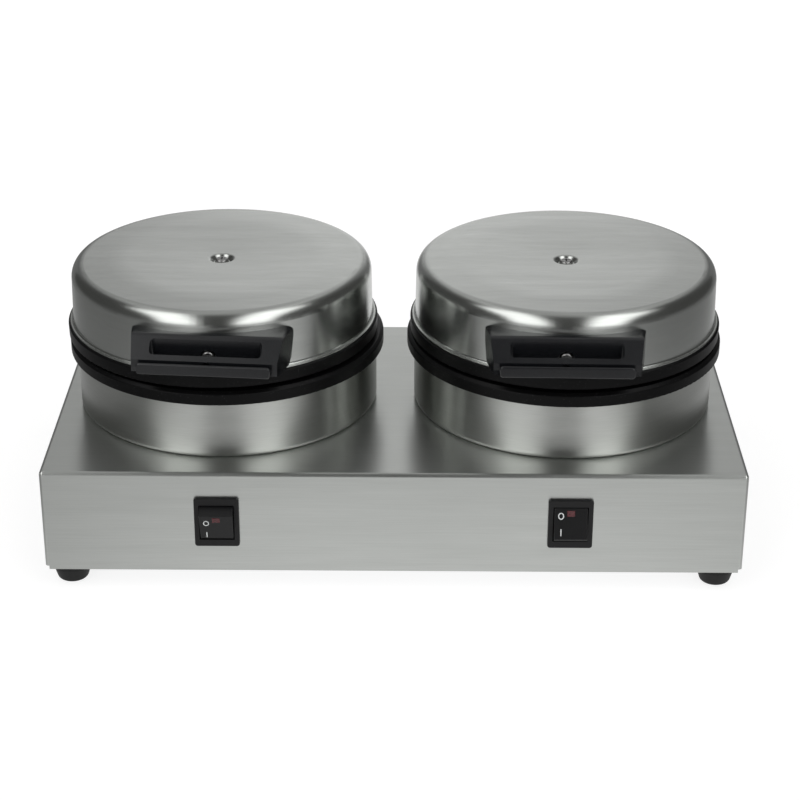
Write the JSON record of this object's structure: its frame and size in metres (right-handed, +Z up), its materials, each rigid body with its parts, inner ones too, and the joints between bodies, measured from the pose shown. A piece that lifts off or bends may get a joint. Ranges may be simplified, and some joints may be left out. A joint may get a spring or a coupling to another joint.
{
  "type": "double waffle maker",
  "caption": "Countertop waffle maker: round steel housings side by side on a folded steel base, each with a hinged lid, black handle and rocker switch.",
  "frame": {"origin": "on the table, under the middle of the footprint", "axes": "+X right along the base, +Y to the rear where the hinges are, +Z up; the handles and switches face -Y"},
  "size_m": [0.4116, 0.2315, 0.168],
  "materials": {
    "brushed_stainless": "brushed stainless sheet",
    "zinc_sheet": "zinc-plated sheet",
    "steel_fastener": "bright plated steel",
    "coated_casting": "cast aluminium with a speckled black non-stick coating",
    "element_sheath": "heat-darkened steel sheath",
    "black_phenolic": "moulded phenolic, semi-gloss",
    "black_rubber": "moulded rubber",
    "black_nylon": "moulded nylon",
    "white_nylon": "moulded nylon",
    "switch_plastic": "fine-textured moulded nylon",
    "red_lens": "dark red translucent plastic",
    "brass_part": "turned brass"
  },
  "bodies": {
    "base": {"base_shell": "brushed_stainless", "bottom_plate": "zinc_sheet", "bottom_plate_screws": "steel_fastener", "foot_front_left": "black_rubber", "foot_front_right": "black_rubber", "foot_rear_left": "black_rubber", "foot_rear_right": "black_rubber", "foot_screws": "steel_fastener", "cord_bushing": "black_nylon", "terminal_block": "white_nylon", "earth_stud": "steel_fastener", "earth_nut": "brass_part", "mount_bolts": "steel_fastener", "mount_washers": "steel_fastener", "hinge_clips": "steel_fastener", "lower_clamp_screws": "steel_fastener", "left_lower_shell": "brushed_stainless", "left_lower_plate": "coated_casting", "left_lower_element": "element_sheath", "left_lower_clamp": "zinc_sheet", "left_thermostat": "steel_fastener", "left_thermal_cutout": "steel_fastener", "left_shell_grommet": "black_rubber", "left_hinge_pin": "steel_fastener", "left_switch_body": "switch_plastic", "right_lower_shell": "brushed_stainless", "right_lower_plate": "coated_casting", "right_lower_element": "element_sheath", "right_lower_clamp": "zinc_sheet", "right_thermostat": "steel_fastener", "right_thermal_cutout": "steel_fastener", "right_shell_grommet": "black_rubber", "right_hinge_pin": "steel_fastener", "right_switch_body": "switch_plastic"},
    "left_lid": {"left_upper_plate": "coated_casting", "left_upper_element": "element_sheath", "left_upper_clamp": "zinc_sheet", "left_upper_clamp_screws": "steel_fastener", "left_lid_shell": "brushed_stainless", "left_lid_post": "steel_fastener", "left_lid_screw": "steel_fastener", "left_lid_grommet": "black_rubber", "left_handle": "black_phenolic", "left_handle_screw": "steel_fastener", "left_handle_nut": "steel_fastener"},
    "left_rocker": {"left_rocker": "switch_plastic", "left_switch_lens": "red_lens"},
    "right_lid": {"right_upper_plate": "coated_casting", "right_upper_element": "element_sheath", "right_upper_clamp": "zinc_sheet", "right_upper_clamp_screws": "steel_fastener", "right_lid_shell": "brushed_stainless", "right_lid_post": "steel_fastener", "right_lid_screw": "steel_fastener", "right_lid_grommet": "black_rubber", "right_handle": "black_phenolic", "right_handle_screw": "steel_fastener", "right_handle_nut": "steel_fastener"},
    "right_rocker": {"right_rocker": "switch_plastic", "right_switch_lens": "red_lens"}
  },
  "joints": [
    {"name": "left_lid_hinge", "type": "hinge", "parent": "base", "child": "left_lid", "pos_m": [-0.1033, 0.1045, 0.122], "axis": [-1, 0, 0], "range_deg": [0, 100]},
    {"name": "right_lid_hinge", "type": "hinge", "parent": "base", "child": "right_lid", "pos_m": [0.1033, 0.1045, 0.122], "axis": [-1, 0, 0], "range_deg": [0, 100]},
    {"name": "left_rocker_tilt", "type": "hinge", "parent": "base", "child": "left_rocker", "pos_m": [-0.1033, -0.1073, 0.0451], "axis": [-1, 0, 0], "range_deg": [0, 36]},
    {"name": "right_rocker_tilt", "type": "hinge", "parent": "base", "child": "right_rocker", "pos_m": [0.1033, -0.1073, 0.0451], "axis": [1, 0, 0], "range_deg": [0, 36]}
  ]
}
